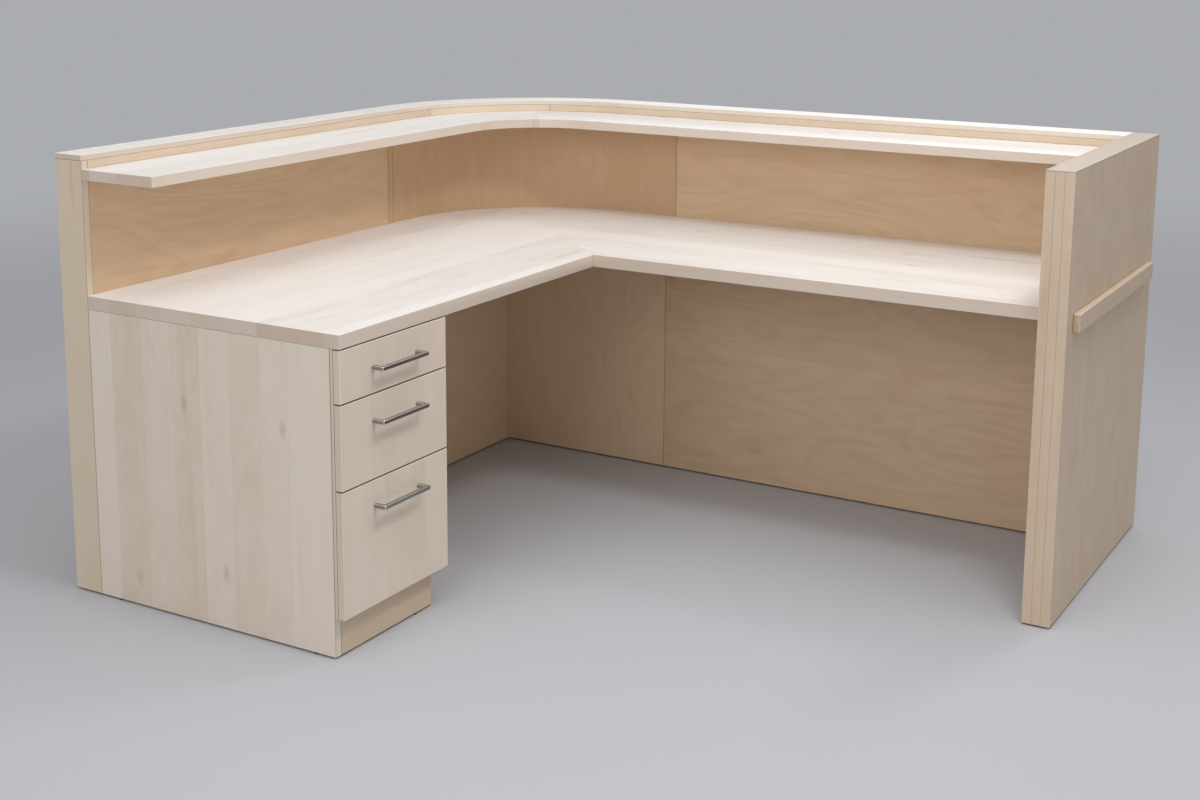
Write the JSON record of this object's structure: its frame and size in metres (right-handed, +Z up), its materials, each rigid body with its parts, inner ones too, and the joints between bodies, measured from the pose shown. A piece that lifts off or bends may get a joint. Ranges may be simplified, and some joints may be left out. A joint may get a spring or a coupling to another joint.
{
  "type": "reception desk",
  "caption": "L-shaped maple reception desk with a tall curved-corner wall, a shelf, a mitred worktop, a thick end panel and a pedestal of drawers.",
  "frame": {"origin": "on the floor under the middle of the desk's bounding box", "axes": "+X along the right wing to the end panel, which is the way the drawers open, +Y back towards the long wall, +Z up"},
  "size_m": [2.116, 1.8, 1.067],
  "materials": {
    "maple_veneered_ply": "unlacquered pale maple veneer on plywood, satin",
    "maple_board": "glued solid maple strips, sanded",
    "maple_drawer_front": "maple with upright grain, sanded",
    "birch_drawer_box": "birch plywood, lacquered",
    "softwood_frame": "planed softwood",
    "brushed_steel_pull": "brushed stainless steel",
    "zinc_plated_steel": "bright zinc plated, rolled sheet",
    "nylon_glide": "moulded dark nylon"
  },
  "bodies": {
    "root": {"left_wall_outer_skin": "maple_veneered_ply", "corner_outer_skin": "maple_veneered_ply", "right_wall_outer_skin": "maple_veneered_ply", "left_wall_end_board": "maple_board", "left_wall_inner_skin": "maple_veneered_ply", "inner_joint_strip": "maple_board", "right_wall_inner_skin": "maple_veneered_ply", "corner_inner_skin": "maple_veneered_ply", "left_wall_frame": "softwood_frame", "corner_wall_frame": "softwood_frame", "right_wall_frame": "softwood_frame", "left_cap": "maple_board", "corner_cap": "maple_board", "right_cap": "maple_board", "left_top_rail": "maple_board", "corner_top_rail": "maple_board", "right_top_rail": "maple_board", "left_shelf": "maple_board", "right_shelf": "maple_board", "left_worktop": "maple_board", "right_worktop": "maple_board", "worktop_joint_plates": "zinc_plated_steel", "worktop_cleats": "softwood_frame", "left_modesty_panel": "maple_veneered_ply", "corner_modesty_panel": "maple_veneered_ply", "right_modesty_panel": "maple_veneered_ply", "modesty_sole_plates": "softwood_frame", "end_panel_inner_leaf": "maple_veneered_ply", "end_panel_core": "maple_veneered_ply", "end_panel_outer_leaf": "maple_veneered_ply", "end_panel_top_lipping": "maple_board", "end_panel_batten": "maple_board", "floor_glides": "nylon_glide", "pedestal_gable": "maple_board", "cabinet_sides": "maple_veneered_ply", "cabinet_bottom": "maple_veneered_ply", "cabinet_back": "maple_veneered_ply", "cabinet_stretchers": "maple_veneered_ply", "plinth_boards": "maple_veneered_ply", "face_frame": "maple_board", "cabinet_runner_members": "zinc_plated_steel"},
    "lower_drawer": {"lower_drawer_front": "maple_drawer_front", "lower_pull": "brushed_steel_pull", "lower_drawer_box": "birch_drawer_box", "lower_drawer_bottom": "birch_drawer_box", "lower_runner_members": "zinc_plated_steel"},
    "lower_runner_middle": {"lower_runner_middle_members": "zinc_plated_steel"},
    "middle_drawer": {"middle_drawer_front": "maple_drawer_front", "middle_pull": "brushed_steel_pull", "middle_drawer_box": "birch_drawer_box", "middle_drawer_bottom": "birch_drawer_box", "middle_runner_members": "zinc_plated_steel"},
    "middle_runner_middle": {"middle_runner_middle_members": "zinc_plated_steel"},
    "upper_drawer": {"upper_drawer_front": "maple_drawer_front", "upper_pull": "brushed_steel_pull", "upper_drawer_box": "birch_drawer_box", "upper_drawer_bottom": "birch_drawer_box", "upper_runner_members": "zinc_plated_steel"},
    "upper_runner_middle": {"upper_runner_middle_members": "zinc_plated_steel"}
  },
  "joints": [
    {"name": "lower_drawer_slide", "type": "slide", "parent": "root", "child": "lower_drawer", "axis": [1, 0, 0], "range_m": [0, 0.48]},
    {"name": "lower_runner_slide", "type": "slide", "parent": "root", "child": "lower_runner_middle", "axis": [1, 0, 0], "range_m": [0, 0.24]},
    {"name": "middle_drawer_slide", "type": "slide", "parent": "root", "child": "middle_drawer", "axis": [1, 0, 0], "range_m": [0, 0.48]},
    {"name": "middle_runner_slide", "type": "slide", "parent": "root", "child": "middle_runner_middle", "axis": [1, 0, 0], "range_m": [0, 0.24]},
    {"name": "upper_drawer_slide", "type": "slide", "parent": "root", "child": "upper_drawer", "axis": [1, 0, 0], "range_m": [0, 0.48]},
    {"name": "upper_runner_slide", "type": "slide", "parent": "root", "child": "upper_runner_middle", "axis": [1, 0, 0], "range_m": [0, 0.24]}
  ],
  "couplings": [
    {"joint": "lower_runner_slide", "follows": "lower_drawer_slide", "ratio": 0.5},
    {"joint": "middle_runner_slide", "follows": "middle_drawer_slide", "ratio": 0.5},
    {"joint": "upper_runner_slide", "follows": "upper_drawer_slide", "ratio": 0.5}
  ]
}
